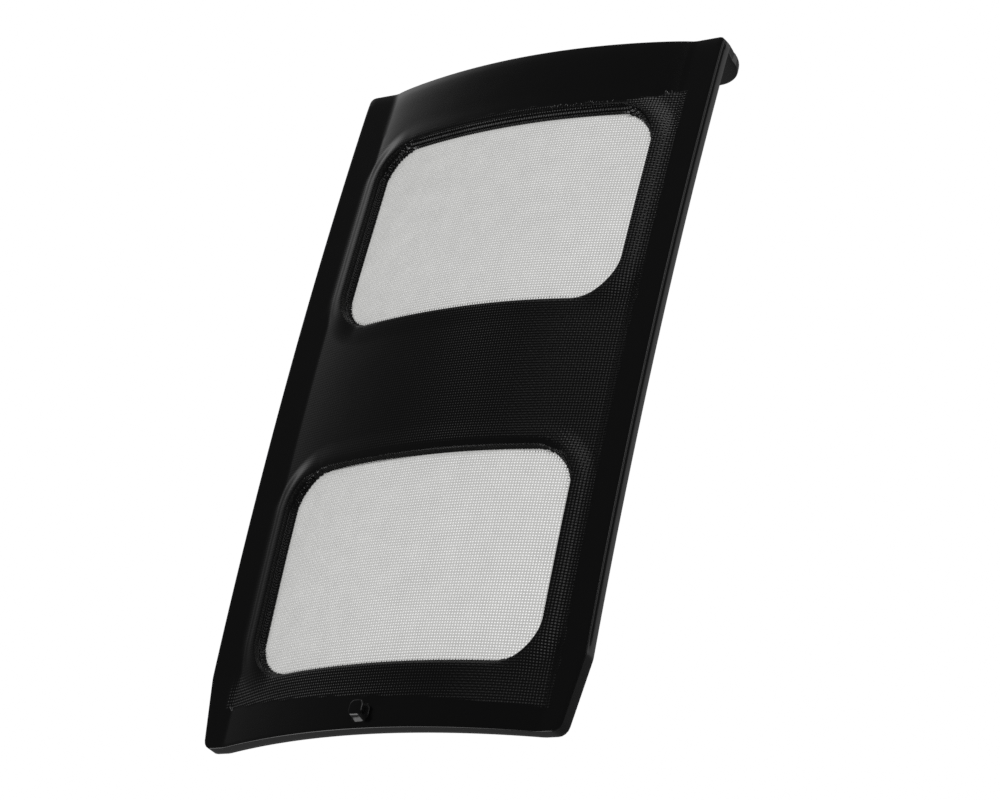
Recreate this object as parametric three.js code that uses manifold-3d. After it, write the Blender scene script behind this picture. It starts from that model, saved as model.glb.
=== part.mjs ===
// Mesh filter screen: one moulded frame, bowed along its length and arched across, with a single
// woven sheet captured inside it and open to view through two windows.
//
// Frame of reference: millimetres, X across, Y backwards, Z up. The origin is the middle of the
// foot edge, half way through the wall on the centre line. The convex front faces -Y.

import * as THREE from 'three';
import { mergeVertices } from 'three/addons/utils/BufferGeometryUtils.js';
import Module from 'manifold-3d';

const wasm = await Module();
wasm.setup();

// ---- Driving dimensions -------------------------------------------------------------------

// Panel
const WIDTH = 50;
const HEIGHT = 85.7;
const WALL = 1.5;
const RAIL_WIDTH = 4;
const FOOT_HEIGHT = HEIGHT / 10;
const FOOT_WIDTH = 47.4;
const FOOT_CORNER = 1.2;
const TOP_CORNER = 0.7;

// Curvature: how far the middle stands forward of the ends and of the rails
const BOW_RISE = 1.2;
const FOOT_SET_FORWARD = 0.33;
const ARCH_RISE_FOOT = 2.95;
const ARCH_RISE_TOP = 2.6;

// Windows, measured at the front, and the ledge that carries the woven sheet in each
const WINDOW_WIDTH = 38.5;
const WINDOW_HEIGHT = 25.95;
const WINDOW_RADIUS = 5.4;
const LOWER_WINDOW_SILL = 7.47;
const UPPER_WINDOW_SILL = 51.07;
const LEDGE_WIDTH = 0.6;
const LEDGE_DEPTH = 0.2;

// Raised rim beside each window, which dies down round the corners to a low lip above and below
const RIM_RISE = 0.45;
const RIM_RISE_LOW = 0.06;
const RIM_CREST_WIDTH = 0.7;
const RIM_WIDTH = 2.7;
const RIM_FADE_START = 0.27;
const RIM_FADE_END = 0.93;

// Woven sheet and the slot that it lies in
const SHEET_WIDTH = 44;
const SHEET_BOTTOM = 3;
const SHEET_TOP = 77.7;
const SHEET_DEPTH = 0.88;
const SHEET_THICKNESS = 0.2;
const SHEET_CLEARANCE = 0.04;

// Tab folded back along the top edge
const TAB_REACH = 7.5;
const TAB_THICKNESS = 1.2;
const TAB_TAPER = 0.7;
const TAB_CORNER = 4;

// Catch nib on the foot
const NIB_WIDTH = 1.9;
const NIB_HEIGHT = 1.85;
const NIB_BOTTOM = 1.1;
const NIB_RISE = 1.15;
const NIB_CHAMFER = 0.25;

// How finely curved surfaces are divided
const ACROSS_STEP = 2;
const ALONG_STEPS = 20;
const ARC_STEPS = 6;

// Overlap between shapes that are joined, and overshoot of shapes that cut
const BITE = 0.5;
const OVERSHOOT = 5;

// Slivers thinner than this, left where shapes cross at a shallow angle, are closed up
const SLIVER = 0.004;

const SHEET_ALONG_STEPS = Math.round(ALONG_STEPS * (SHEET_TOP - SHEET_BOTTOM) / HEIGHT);

// ---- Shape of the panel -------------------------------------------------------------------

// Front face of the side rails: a shallow parabola above the foot, then its tangent down the foot,
// which is set forward a little at its lower end.
function railFront(z) {
  const halfSpan = (HEIGHT - FOOT_HEIGHT) / 2;
  if (z < FOOT_HEIGHT) {
    const below = FOOT_HEIGHT - z;
    return below * 2 * BOW_RISE / halfSpan - FOOT_SET_FORWARD * below / FOOT_HEIGHT;
  }
  const t = (z - FOOT_HEIGHT - halfSpan) / halfSpan;
  return -BOW_RISE * (1 - t * t);
}

// Front face of the whole panel: the rails, with the arch standing forward between them.
function panelFront(x, z) {
  const halfArch = WIDTH / 2 - RAIL_WIDTH;
  const t = Math.min(Math.abs(x) / halfArch, 1);
  const rise = THREE.MathUtils.lerp(ARCH_RISE_FOOT, ARCH_RISE_TOP, z / HEIGHT);
  return railFront(z) - rise * (1 - t * t);
}

// Moves a shape built against the plane y = 0 on to the curved front face.
function bendToPanel(geometry) {
  const position = geometry.getAttribute('position');
  for (let i = 0; i < position.count; i += 1) {
    const front = panelFront(position.getX(i), position.getZ(i));
    position.setY(i, position.getY(i) + front);
  }
  return geometry;
}

// ---- Solids -------------------------------------------------------------------------------

function toSolid(geometry) {
  const bare = geometry.clone();
  bare.deleteAttribute('normal');
  bare.deleteAttribute('uv');
  const merged = mergeVertices(bare, 1e-4);
  return new wasm.Manifold(new wasm.Mesh({
    numProp: 3,
    vertProperties: new Float32Array(merged.getAttribute('position').array),
    triVerts: new Uint32Array(merged.getIndex().array),
  }));
}

function toGeometry(solid) {
  const mesh = solid.getMesh();
  const geometry = new THREE.BufferGeometry();
  geometry.setAttribute('position', new THREE.BufferAttribute(mesh.vertProperties, 3));
  geometry.setIndex(new THREE.BufferAttribute(mesh.triVerts, 1));
  geometry.computeVertexNormals();
  return geometry;
}

// A plate that follows the panel, between two depths behind the front face.
function curvedPlate({ width, bottom, top, near, far, alongSteps }) {
  const acrossSteps = Math.round(width / ACROSS_STEP);
  const plate = new THREE.BoxGeometry(width, far - near, top - bottom, acrossSteps, 1, alongSteps);
  plate.translate(0, (near + far) / 2, (bottom + top) / 2);
  return toSolid(bendToPanel(plate));
}

// A shape drawn in X and Z, pushed straight through from y = near to y = far.
function pushThrough(shape, near, far, bevel = {}) {
  const geometry = new THREE.ExtrudeGeometry(shape, {
    depth: far - near, bevelEnabled: false, curveSegments: ARC_STEPS, ...bevel,
  });
  geometry.rotateX(Math.PI / 2);
  geometry.translate(0, far, 0);
  return toSolid(geometry);
}

// ---- Outlines -----------------------------------------------------------------------------

function panelOutline() {
  const side = WIDTH / 2;
  const foot = FOOT_WIDTH / 2;
  const shape = new THREE.Shape();
  shape.moveTo(-foot + FOOT_CORNER, 0);
  shape.lineTo(foot - FOOT_CORNER, 0);
  shape.quadraticCurveTo(foot, 0, foot + (side - foot) * FOOT_CORNER / FOOT_HEIGHT, FOOT_CORNER);
  shape.lineTo(side, FOOT_HEIGHT);
  shape.lineTo(side, HEIGHT - TOP_CORNER);
  shape.absarc(side - TOP_CORNER, HEIGHT - TOP_CORNER, TOP_CORNER, 0, Math.PI / 2);
  shape.absarc(-side + TOP_CORNER, HEIGHT - TOP_CORNER, TOP_CORNER, Math.PI / 2, Math.PI);
  shape.lineTo(-side, FOOT_HEIGHT);
  shape.lineTo(-foot - (side - foot) * FOOT_CORNER / FOOT_HEIGHT, FOOT_CORNER);
  shape.quadraticCurveTo(-foot, 0, -foot + FOOT_CORNER, 0);
  return shape;
}

// Points round a window, moved outwards by offset. Every offset gives the same number of points,
// so two of them can be joined point to point.
function windowLoop(sill, offset) {
  const halfWidth = WINDOW_WIDTH / 2 - WINDOW_RADIUS;
  const halfHeight = WINDOW_HEIGHT / 2 - WINDOW_RADIUS;
  const middle = sill + WINDOW_HEIGHT / 2;
  const corners = [[1, 1], [-1, 1], [-1, -1], [1, -1]];
  const loop = [];
  corners.forEach(([signX, signZ], quarter) => {
    for (let i = 0; i <= ARC_STEPS; i += 1) {
      const angle = (quarter + i / ARC_STEPS) * Math.PI / 2;
      loop.push(new THREE.Vector2(
        signX * halfWidth + (WINDOW_RADIUS + offset) * Math.cos(angle),
        middle + signZ * halfHeight + (WINDOW_RADIUS + offset) * Math.sin(angle),
      ));
    }
    // The straight side that follows this corner, divided so that it can follow the arch
    const [nextX, nextZ] = corners[(quarter + 1) % 4];
    const run = Math.hypot((nextX - signX) * halfWidth, (nextZ - signZ) * halfHeight);
    const steps = Math.ceil(run / (2 * ACROSS_STEP));
    const start = loop.at(-1);
    const end = start.clone();
    end.x += (nextX - signX) * halfWidth;
    end.y += (nextZ - signZ) * halfHeight;
    for (let i = 1; i < steps; i += 1) {
      loop.push(start.clone().lerp(end, i / steps));
    }
  });
  return loop;
}

function windowShape(sill, offset) {
  return new THREE.Shape(windowLoop(sill, offset));
}

// ---- Features of the frame ----------------------------------------------------------------

// How far the rim stands up at a point of a window's edge. It fades as the edge turns from
// running along the panel, beside the window, to running across it.
function rimRise(point, sill) {
  const halfWidth = WINDOW_WIDTH / 2 - WINDOW_RADIUS;
  const halfHeight = WINDOW_HEIGHT / 2 - WINDOW_RADIUS;
  const beyondX = Math.max(Math.abs(point.x) - halfWidth, 0);
  const beyondZ = Math.max(Math.abs(point.y - sill - WINDOW_HEIGHT / 2) - halfHeight, 0);
  const sideways = beyondX / Math.hypot(beyondX, beyondZ);
  const share = THREE.MathUtils.smoothstep(sideways, RIM_FADE_START, RIM_FADE_END);
  return THREE.MathUtils.lerp(RIM_RISE_LOW, RIM_RISE, share);
}

// The rim is a ring. Each corner of its section is given as its distance outside the window, its
// height as a share of the crest's, and a height added to that.
function rim(sill) {
  const section = [
    [-BITE, 1, 0],
    [RIM_CREST_WIDTH, 1, 0],
    [RIM_WIDTH, 0, -SHEET_CLEARANCE],
    [RIM_WIDTH, 0, -BITE],
    [-BITE, 0, -BITE],
  ];
  const edge = windowLoop(sill, 0);
  const loops = section.map(([offset]) => windowLoop(sill, offset));
  const count = edge.length;
  const positions = [];
  loops.forEach((loop, k) => {
    const [, crestShare, added] = section[k];
    loop.forEach((point, i) => {
      const height = crestShare * rimRise(edge[i], sill) + added;
      positions.push(point.x, -height, point.y);
    });
  });
  const index = [];
  for (let k = 0; k < section.length; k += 1) {
    const next = (k + 1) % section.length;
    for (let i = 0; i < count; i += 1) {
      const j = (i + 1) % count;
      const [a, b] = [k * count + i, k * count + j];
      const [c, d] = [next * count + j, next * count + i];
      index.push(a, c, b, a, d, c);
    }
  }
  const ring = new THREE.BufferGeometry();
  ring.setAttribute('position', new THREE.Float32BufferAttribute(positions, 3));
  ring.setIndex(index);
  return toSolid(bendToPanel(ring));
}

// The window itself: a full-size opening down to the ledge, then a smaller one right through.
function windowCut(sill) {
  const ledge = curvedPlate({
    width: WIDTH, bottom: sill - RIM_WIDTH, top: sill + WINDOW_HEIGHT + RIM_WIDTH,
    near: -OVERSHOOT, far: LEDGE_DEPTH, alongSteps: ALONG_STEPS / 2,
  });
  const mouth = pushThrough(windowShape(sill, 0), -2 * OVERSHOOT, 2 * OVERSHOOT).intersect(ledge);
  const throat = pushThrough(windowShape(sill, -LEDGE_WIDTH), -2 * OVERSHOOT, 2 * OVERSHOOT);
  return mouth.add(throat);
}

// Plan view of the tab. Its front edge follows the arch, just inside the wall.
function tab() {
  const side = WIDTH / 2;
  const end = side - TAB_TAPER;
  const inside = WALL / 2;
  const shape = new THREE.Shape();
  shape.moveTo(side, railFront(HEIGHT) + inside);
  shape.lineTo(end, TAB_REACH - TAB_CORNER);
  shape.absarc(end - TAB_CORNER, TAB_REACH - TAB_CORNER, TAB_CORNER, 0, Math.PI / 2);
  shape.absarc(-end + TAB_CORNER, TAB_REACH - TAB_CORNER, TAB_CORNER, Math.PI / 2, Math.PI);
  shape.lineTo(-side, railFront(HEIGHT) + inside);
  for (let x = -side + ACROSS_STEP; x < side; x += ACROSS_STEP) {
    shape.lineTo(x, panelFront(x, HEIGHT) + inside);
  }
  const geometry = new THREE.ExtrudeGeometry(shape, {
    depth: TAB_THICKNESS, bevelEnabled: false, curveSegments: ARC_STEPS,
  });
  geometry.translate(0, 0, HEIGHT - TAB_THICKNESS);
  return toSolid(geometry);
}

// A small round-topped nub with chamfered edges, rooted in the wall.
function nib() {
  const half = NIB_WIDTH / 2;
  const top = NIB_BOTTOM + NIB_HEIGHT;
  const shape = new THREE.Shape();
  shape.moveTo(-half, NIB_BOTTOM);
  shape.lineTo(half, NIB_BOTTOM);
  shape.lineTo(half, top - half);
  shape.absarc(0, top - half, half, 0, Math.PI);
  const front = panelFront(0, NIB_BOTTOM);
  return pushThrough(shape, front - NIB_RISE + NIB_CHAMFER, front + BITE, {
    bevelEnabled: true, bevelThickness: NIB_CHAMFER, bevelSize: NIB_CHAMFER,
    bevelOffset: -NIB_CHAMFER, bevelSegments: 1,
  });
}

// ---- Sub-parts ----------------------------------------------------------------------------

function frameSolid() {
  const wall = curvedPlate({
    width: WIDTH, bottom: 0, top: HEIGHT, near: 0, far: WALL, alongSteps: ALONG_STEPS,
  });
  const outline = pushThrough(panelOutline(), -2 * OVERSHOOT, 2 * OVERSHOOT);
  const slot = curvedPlate({
    width: SHEET_WIDTH + 2 * SHEET_CLEARANCE,
    bottom: SHEET_BOTTOM - SHEET_CLEARANCE,
    top: SHEET_TOP + SHEET_CLEARANCE,
    near: SHEET_DEPTH - SHEET_CLEARANCE,
    far: SHEET_DEPTH + SHEET_THICKNESS + SHEET_CLEARANCE,
    alongSteps: SHEET_ALONG_STEPS,
  });
  let frame = wall.add(tab()).intersect(outline).add(nib());
  for (const sill of [LOWER_WINDOW_SILL, UPPER_WINDOW_SILL]) {
    frame = frame.add(rim(sill)).subtract(windowCut(sill));
  }
  return frame.subtract(slot).simplify(SLIVER);
}

function sheetSolid() {
  return curvedPlate({
    width: SHEET_WIDTH, bottom: SHEET_BOTTOM, top: SHEET_TOP,
    near: SHEET_DEPTH, far: SHEET_DEPTH + SHEET_THICKNESS, alongSteps: SHEET_ALONG_STEPS,
  });
}

function subPart(name, solid, material) {
  const mesh = new THREE.Mesh(toGeometry(solid), new THREE.MeshStandardMaterial(material));
  mesh.name = name;
  return mesh;
}

const screen = new THREE.Group();
screen.add(
  subPart('frame', frameSolid(), { color: 0x121212, roughness: 0.42, metalness: 0 }),
  subPart('mesh_sheet', sheetSolid(), { color: 0xdcdbd7, roughness: 0.65, metalness: 0 }),
);

// Bring the middle of the foot edge to the origin.
screen.position.y = -(panelFront(0, 0) + WALL / 2);

export default screen;
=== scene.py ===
"""Mesh filter screen: fine surfaces, materials, light and camera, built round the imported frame.

Lengths are in millimetres until a mesh is made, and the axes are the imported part's: X across,
Y backwards, Z up, with the origin at the middle of the foot edge.
"""

import math

import bmesh
import bpy
import numpy as np
from mathutils import Matrix, Vector
from mathutils.geometry import delaunay_2d_cdt

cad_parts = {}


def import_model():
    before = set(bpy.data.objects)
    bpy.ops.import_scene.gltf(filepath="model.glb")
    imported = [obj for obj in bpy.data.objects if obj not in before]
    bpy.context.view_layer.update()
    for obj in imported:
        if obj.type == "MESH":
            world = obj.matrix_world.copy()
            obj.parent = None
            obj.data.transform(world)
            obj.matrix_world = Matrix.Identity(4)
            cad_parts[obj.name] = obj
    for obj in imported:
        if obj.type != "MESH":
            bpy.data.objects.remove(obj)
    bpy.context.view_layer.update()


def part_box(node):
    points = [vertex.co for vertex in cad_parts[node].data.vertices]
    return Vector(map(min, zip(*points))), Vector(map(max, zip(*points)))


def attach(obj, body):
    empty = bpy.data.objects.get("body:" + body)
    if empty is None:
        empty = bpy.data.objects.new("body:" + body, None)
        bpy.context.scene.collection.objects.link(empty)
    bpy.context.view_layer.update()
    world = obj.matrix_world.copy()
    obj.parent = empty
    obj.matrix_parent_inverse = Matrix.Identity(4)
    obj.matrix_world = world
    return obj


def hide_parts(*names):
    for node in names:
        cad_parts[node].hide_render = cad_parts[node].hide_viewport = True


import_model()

MM = 0.001
_, frame_high = (np.array(corner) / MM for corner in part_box("frame"))
sheet_low, sheet_high = (np.array(corner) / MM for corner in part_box("mesh_sheet"))

# ---- Driving dimensions ---------------------------------------------------------------------

# Panel: its half width, its height and the tab's rear edge come from the frame
SIDE = float(frame_high[0])
HEIGHT = float(frame_high[2])
TAB_REAR = float(frame_high[1])
WALL = 1.5
RAIL_WIDTH = 4.0
FOOT_HEIGHT = HEIGHT / 10
FOOT_SIDE = 23.7
FOOT_CORNER = 1.2
KNEE_RADIUS = 4.0
TOP_CORNER = 0.7
ARRIS = 0.12
REAR_ARRIS = 0.05

# The groove in the panel's edge: how far behind the front, and how far in
EDGE_PROFILE = ((0.22, 0.0), (0.27, 0.09), (0.40, 0.12), (0.47, 0.05), (0.85, 0.02))

# Curvature: the bow of the rails, the arch between them with its shoulders, and the roll at the top
BOW_RISE = 1.2
FOOT_SET_FORWARD = 0.33
ARCH_HALF_WIDTH = SIDE - RAIL_WIDTH
ARCH_RISE_FOOT = 2.95
ARCH_RISE_TOP = 2.6
ARCH_ROOT_BLEND = 0.06
SHOULDER_RISE = 0.15
SHOULDER_REACH = 1.2
SHOULDER_START = 0.8 * HEIGHT
SHOULDER_RUN = 0.15 * HEIGHT
TOP_ROLL = 0.12
TOP_ROLL_HEIGHT = 2.7

# Windows, and the soft rims beside them
WINDOW_HALF_WIDTH = 19.25
WINDOW_HALF_HEIGHT = 12.975
WINDOW_RADIUS = 5.4
WINDOW_CENTRES = {"lower": 7.47 + WINDOW_HALF_HEIGHT, "upper": 51.07 + WINDOW_HALF_HEIGHT}
STRAIGHT_HALF_WIDTH = WINDOW_HALF_WIDTH - WINDOW_RADIUS
STRAIGHT_HALF_HEIGHT = WINDOW_HALF_HEIGHT - WINDOW_RADIUS
BRIDGE_MIDDLE = sum(WINDOW_CENTRES.values()) / 2
RIM_RISE = 0.45
RIM_RISE_LOW = 0.06
RIM_CREST_WIDTH = 0.5
RIM_WIDTH = 2.7

# A window's edge, from the crest inwards: a drafted wall, a flat bead, then a slope to the cloth.
# A size's LEAST is the share of it that is left above and below the window.
LEDGE_WIDTH = 0.74
LEDGE_DEPTH = 0.2
LEDGE_DEPTH_LEAST = 0.4
WALL_DRAFT = 0.2
WALL_DRAFT_LEAST = 0.1
BEAD_WIDTH = 0.33
BEAD_WIDTH_LEAST = 0.15
EDGE_ROUND = 0.03
SLOPE_STEPS = 4
SLOPE_START = 0.05
SLOPE_RELIEF = 0.2
SLOPE_PAST_CLOTH = 0.1
BACK_FLARE = 0.04

# The smooth lip along the top of the lower window, and how far the upper window's slopes sit low
LIP_WIDTH = 0.45
LIP_DROP = 0.45
LIP_SQUEEZE = 0.8
UPPER_SHIFT = 0.25

# Cloth: its threads, and where it lies
PITCH = 1 / 3
THREAD_RADIUS = 0.115
THREAD_FLATNESS = 0.55
THREAD_SWING = 0.055
THREAD_DRIFT = 0.06
CLOTH_DEPTH = 0.98
CLOTH_SIDE = float(sheet_high[0])
CLOTH_TOP = float(sheet_high[2])
CLOTH_FOOT = float(sheet_low[2]) + 0.6
CLOTH_FOOT_SLANT = -0.05
CLOTH_CORNER_RISE = 0.75
CLOTH_RAGGEDNESS = 0.12
CURL_DROP = 0.7
CURL_WIDTH = 7.0
CURL_HEIGHT = 4.0

# The cut top edge wanders: where each step starts, how far it runs, and its rise
CLOTH_TOP_STEPS = ((5.0, 4.0, -0.3), (14.0, 3.0, 0.35), (18.0, 2.0, 0.7))

# The weave that stands out of the plastic, in the mesh and in the material's finer relief
EMBOSS = 0.05
EMBOSS_FADE = 0.2
WOVEN_RELIEF = 0.08
WALL_COVER = 0.8
WARP_HEIGHT = 0.45
WEFT_HEIGHT = 0.55
OVER_UNDER = 0.25

# How boldly the weave shows: everywhere, towards the right or the foot, and a little more at the
# far right; a RAMP is where it starts and how far it runs
BOLD_LEAST = 0.25
BOLD_RISE = 0.6
BOLD_RIGHT_RISE = 0.12
BOLD_LEFT_RAMP = (-15, 22)
BOLD_FOOT_RAMP = (10, -4)
BOLD_RIGHT_RAMP = (5, 10)

# Black teeth on the threads round a window, longer at its top right corner
STAIN_RADIUS = 0.07
STAIN_SWING = 0.02
TOOTH_LENGTH = (0.03, 0.2)
CORNER_TOOTH = 0.3
CORNER_TOOTH_RAMP = (11, 3)

# Loose fibres: from one X to another, at a height, and how many
FIBRE_RADIUS = 0.045
FIBRE_LENGTH = (0.2, 0.45)
FIBRE_LEAN = 0.6
FIBRE_SCATTER = 0.15
FIBRE_DEPTHS = (-0.02, 0.05, 0.04)
FRAYED_EDGES = (
    (5.0, 13.5, CLOTH_TOP - 0.35, 24),
    (19.3, 20.8, CLOTH_TOP + CLOTH_CORNER_RISE - 0.1, 4),
    (-21.6, -20.8, CLOTH_FOOT + 1.0, 4),
)

# Tab
TAB_THICKNESS = 1.2
TAB_TAPER = 0.7
TAB_CORNER = 4.0
TAB_REAR_ROUND = 0.3
TAB_FILLET = 0.7
TAB_ROOT_INSIDE = 0.4
TAB_LEAST_REACH = 0.7

# Nib: corner radii run anticlockwise from its lower left corner
NIB_HALF_WIDTH = 0.95
NIB_HEIGHT = 1.85
NIB_BOTTOM = 1.1
NIB_RISE = 1.15
NIB_MIDDLE = -0.33
NIB_CORNERS = (0.55, 0.5, 0.75, 0.75)
NIB_ROUND = 0.25
NIB_TAPER = 0.02
NIB_ROOT = ((-0.5, 0.05), (0.02, 0.05), (0.05, 0.01))
NIB_UNDERSIDE_DROP = 0.2
NIB_UNDERSIDE_HEIGHT = 0.6

# Fineness of the mesh, with a hair's breadth to keep clear of an edge
HAIR = 0.01
FINE = PITCH / 2
COARSE = 1.0
FINE_BOTTOM = 1.2
FINE_GAP = 0.2
SMALLEST_AREA = 1e-4
QUARTER_ROUND = np.radians([30, 60, 90])

# ---- Looks, light and camera ----------------------------------------------------------------

# Plastic: its colour, the range of its roughness, and its grain; WAVES are noise waves to the metre
PLASTIC_BLACK = (0.0045, 0.0045, 0.0047, 1)
PLASTIC_ROUGHNESS = (0.15, 0.2)
GRAIN_WAVES = 2600.0
GRAIN_HEIGHT = 0.03
GRAIN_STRENGTH = 0.12
PATCH_WAVES = 260.0

# Cloth: its painted glow (standing in for light through it) to the camera and on the plastic; its tones
THREAD_WAVES = 420.0
THREAD_TONE = (0.75, 0.81)
THREAD_BLUE = 0.98
THREAD_ROUGHNESS = 0.35
THREAD_PAINTED_GLOW_SEEN = 0.9
THREAD_PAINTED_GLOW_CAST = 0.2
PAINTED_GLOW_SHARE = 0.6
CLEAR_SHARE = 0.25
FIBRE_WAVES = 900.0
FIBRE_TONE = (0.12, 0.4)
FIBRE_ROUGHNESS = 0.4

# The room that the object mirrors; a softbox angle is its middle and its spread, in degrees
SURROUND_FRONT = 0.075
SURROUND_LOW = 0.15
SURROUND_HIGH = 0.16
FLOOR_LIGHT = 0.12
BACKLIGHT = 1.68
SOFTBOX_AZIMUTH = (-87, 12.3)
SOFTBOX_ELEVATION = (40, 9.2)
SOFTBOX_STRENGTH = 0.82

# Lamps, all at one distance in metres: azimuth and elevation in degrees, size in metres, watts
LAMP_DISTANCE = 0.6
LAMPS = {
    "under_fill": (-60, -45, 0.2, 0.26),
    "top_fill": (-30, 80, 0.24, 0.24),
    "low_left": (-78, -51, 0.4, 1.1),
    "right_fill": (36, 38, 0.5, 0.55),
    "right_edge": (50, 26, 0.2, 0.2),
    "rear_right": (139, 34, 0.4, 0.2),
}

# Camera: angles in degrees, its distance from the panel's middle, and the point that it looks at
CAMERA_AZIMUTH = 40.445
CAMERA_ELEVATION = -26.494
CAMERA_DISTANCE = 405.99
CAMERA_AIM = (3.278, 4.969, 42.583)
CAMERA_ROLL = 13.73
CAMERA_LENS = 131.62

# Floor: it fades out from a share of its radius; the tone of its painted contact shadow close to the
# object, and what is added in the open
FLOOR_RADIUS = 2 * HEIGHT
FLOOR_GAP = 0.2
FLOOR_FADE_START = 0.3
PAINTED_SHADOW_REACH = 40
PAINTED_SHADOW_TONE = 0.58
OPEN_TONE = 0.35


# ---- Shape functions ------------------------------------------------------------------------

def ease(t):
    """A smooth step from 0 to 1."""
    t = np.clip(t, 0, 1)
    return t * t * (3 - 2 * t)


def ramp(value, start, run):
    """A smooth step from 0 where value is start to 1 after the run, which may be negative."""
    return ease((value - start) / run)


def rail_front(z):
    """Front face of the side rails: a shallow parabola, its tangent down the foot, a roll at the top."""
    half_span = (HEIGHT - FOOT_HEIGHT) / 2
    t = (z - FOOT_HEIGHT - half_span) / half_span
    below = FOOT_HEIGHT - z
    straight = below * 2 * BOW_RISE / half_span - FOOT_SET_FORWARD * below / FOOT_HEIGHT
    from_roll = np.maximum(z - HEIGHT + TOP_ROLL_HEIGHT, 0) / TOP_ROLL_HEIGHT
    return np.where(z < FOOT_HEIGHT, straight, -BOW_RISE * (1 - t * t)) + TOP_ROLL * from_roll**2


def smooth_max(a, b, blend):
    """The larger of a and b, rounded where they are within blend of each other."""
    h = np.clip(0.5 + (a - b) / (2 * blend), 0, 1)
    return b * (1 - h) + a * h + blend * h * (1 - h)


def arch_rise(x, z):
    """How far the arch stands forward of the rails, fuller at its shoulders near the top."""
    rise = ARCH_RISE_FOOT + (ARCH_RISE_TOP - ARCH_RISE_FOOT) * z / HEIGHT
    t = x / ARCH_HALF_WIDTH
    from_root = ARCH_HALF_WIDTH - np.abs(x)
    fullness = 1 - np.exp(-from_root / SHOULDER_REACH)
    shoulder = SHOULDER_RISE * ramp(z, SHOULDER_START, SHOULDER_RUN) * fullness
    return smooth_max(rise * (1 - t * t) + shoulder, 0 * x, ARCH_ROOT_BLEND)


FOOT_FRONT = float(rail_front(0.0) - ARCH_RISE_FOOT)
Y_SHIFT = -(FOOT_FRONT + WALL / 2)


def plain_front(x, z):
    """The smooth front face, without rims or weave."""
    return Y_SHIFT + rail_front(z) - arch_rise(x, z)


def window_distance(x, z, centre):
    """Distance outside a window's edge; negative inside it."""
    dx = np.abs(x) - STRAIGHT_HALF_WIDTH
    dz = np.abs(z - centre) - STRAIGHT_HALF_HEIGHT
    outside = np.hypot(np.maximum(dx, 0), np.maximum(dz, 0))
    return outside + np.minimum(np.maximum(dx, dz), 0) - WINDOW_RADIUS


def nearest_window(x, z):
    """Distance outside the nearer window's edge."""
    return np.minimum(*(window_distance(x, z, c) for c in WINDOW_CENTRES.values()))


def sideness(x, z):
    """1 beside a window and 0 above or below it, turning over round its corners."""
    beyond_x = np.maximum(np.abs(x) - STRAIGHT_HALF_WIDTH, 0)
    beyond_z = np.inf
    for centre in WINDOW_CENTRES.values():
        beyond = np.maximum(np.abs(z - centre) - STRAIGHT_HALF_HEIGHT, 0)
        beyond_z = np.minimum(beyond_z, beyond)
    return ease(1.5 * beyond_x / np.maximum(np.hypot(beyond_x, beyond_z), 1e-6) - 0.4)


def edge_sizes(x, z):
    """Ledge depth, wall draft and bead width of a window's edge near x, z."""
    at_side = sideness(x, z)
    sizes = (
        (LEDGE_DEPTH, LEDGE_DEPTH_LEAST),
        (WALL_DRAFT, WALL_DRAFT_LEAST),
        (BEAD_WIDTH, BEAD_WIDTH_LEAST),
    )
    return [size * (least + (1 - least) * at_side) for size, least in sizes]


def rim_rise(x, z):
    """Height of the soft rim beside the windows: a flat crest, then a soft flank."""
    distance = nearest_window(x, z)
    t = 1 - (distance - RIM_CREST_WIDTH) / (RIM_WIDTH - RIM_CREST_WIDTH)
    return (RIM_RISE_LOW + (RIM_RISE - RIM_RISE_LOW) * sideness(x, z)) * ease(t)


def weave(x, z):
    """Plain weave, from 0 in the holes to about 1 where the threads cross."""
    drift_x, drift_z = thread_drift(x, z)
    u, v = (x - drift_x) / PITCH, (z - drift_z) / PITCH
    warp = 0.5 + 0.5 * np.cos(2 * math.pi * u)
    weft = 0.5 + 0.5 * np.cos(2 * math.pi * v)
    swap = OVER_UNDER * np.cos(math.pi * u) * np.cos(math.pi * v)
    return WARP_HEIGHT * warp * (1 + swap) + WEFT_HEIGHT * weft * (1 - swap)


def slow_wave(x, z, seed):
    """A smooth, slowly varying value between about -1 and 1."""
    rng = np.random.default_rng(seed)
    total = 0 * x
    for _ in range(5):
        fx, fz = rng.uniform(-0.45, 0.45, 2)
        total = total + np.sin(fx * x + fz * z + rng.uniform(0, 2 * math.pi))
    return total / 3


def thread_drift(x, z):
    """How far the threads wander from a true grid, with the curled corner at the lower left."""
    across = (x + CLOTH_SIDE) / CURL_WIDTH
    upwards = (z - CLOTH_FOOT) / CURL_HEIGHT
    curl = CURL_DROP * np.exp(-(across**2) - upwards**2)
    return THREAD_DRIFT * slow_wave(x, z, 7), THREAD_DRIFT * slow_wave(x, z, 8) - curl


def lip_share(x, z):
    """1 along the top of the lower window, where plastic has run over the weave, and 0 elsewhere."""
    centre = WINDOW_CENTRES["lower"]
    beyond_x = np.maximum(np.abs(x) - STRAIGHT_HALF_WIDTH, 0)
    beyond_z = np.maximum(z - centre - STRAIGHT_HALF_HEIGHT, 0)
    upward = beyond_z / np.maximum(np.hypot(beyond_x, beyond_z), 1e-6)
    above = (beyond_z > 0) & (z < BRIDGE_MIDDLE)
    return ease(4 * (upward - 0.65)) * above


def lip(x, z):
    """1 on the smooth lip itself, fading into the weave above it."""
    distance = window_distance(x, z, WINDOW_CENTRES["lower"])
    return lip_share(x, z) * ease((LIP_WIDTH - distance) / EMBOSS_FADE)


def boldness(x, z):
    """How strongly the weave shows: soft at the left, bold at the right and along the foot."""
    towards = np.maximum(ramp(x, *BOLD_LEFT_RAMP), ramp(z, *BOLD_FOOT_RAMP))
    return BOLD_LEAST + BOLD_RISE * towards + BOLD_RIGHT_RISE * ramp(x, *BOLD_RIGHT_RAMP)


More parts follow.
